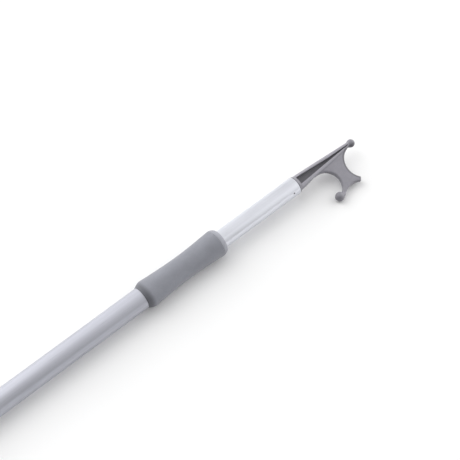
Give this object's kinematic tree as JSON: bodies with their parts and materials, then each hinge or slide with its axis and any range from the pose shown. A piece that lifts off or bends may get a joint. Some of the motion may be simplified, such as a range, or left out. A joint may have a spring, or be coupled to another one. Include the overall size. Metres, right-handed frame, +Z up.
{
  "type": "boat hook",
  "caption": "Telescopic boat hook: twist-locking aluminium pole with soft waisted grips, a lanyard hole in the butt, and a moulded head with hook, horn and ball ends.",
  "frame": {"origin": "centre of the butt cap's flat end face, on the pole's axis", "axes": "+X along the pole's axis from the butt to the hook head, +Z up with the pole lying on level ground, hook pointing to -Y"},
  "size_m": [1.2412, 0.0727, 0.0384],
  "materials": {
    "tube": "satin anodised, drawn lengthwise",
    "inner_tube": "satin anodised, drawn lengthwise",
    "grip": "matt soft rubber",
    "head": "satin moulded nylon",
    "bush": "satin moulded nylon",
    "cap": "matt moulded plastic",
    "lock_plastic": "moulded acetal",
    "foam": "closed-cell foam",
    "steel": "plain stainless",
    "seal": "smooth nitrile rubber"
  },
  "bodies": {
    "handle": {"outer_tube": "tube", "front_grip": "grip", "rear_grip": "grip", "guide_bush": "bush", "wiper_ring": "seal", "bush_pins": "steel", "butt_cap": "cap", "butt_seal": "seal", "butt_pin": "steel"},
    "lock_shoe": {"expander_sleeve": "lock_plastic"},
    "lock_wedge": {"expander_cone": "lock_plastic"},
    "shaft": {"inner_tube": "inner_tube", "float_core": "foam", "hook_head": "head", "head_pin": "steel", "head_seal": "seal", "lock_plug": "lock_plastic", "plug_pin": "steel", "plug_seal": "seal", "lock_bolt": "steel", "lock_nut": "steel", "end_washer": "steel", "end_nut": "steel"}
  },
  "joints": [
    {"name": "telescope", "type": "slide", "parent": "handle", "child": "lock_shoe", "axis": [1, 0, 0], "range_m": [-0.13, 0.675]},
    {"name": "twist", "type": "hinge", "parent": "lock_shoe", "child": "shaft", "pos_m": [1.1325, 0, 0], "axis": [-1, 0, 0], "range_deg": [0, 180]},
    {"name": "cone_shift", "type": "slide", "parent": "lock_shoe", "child": "lock_wedge", "axis": [1, 0, 0], "range_m": [0, 0.001]}
  ],
  "couplings": [
    {"joint": "cone_shift", "follows": "twist", "m_per_rad": 0.00019894}
  ]
}
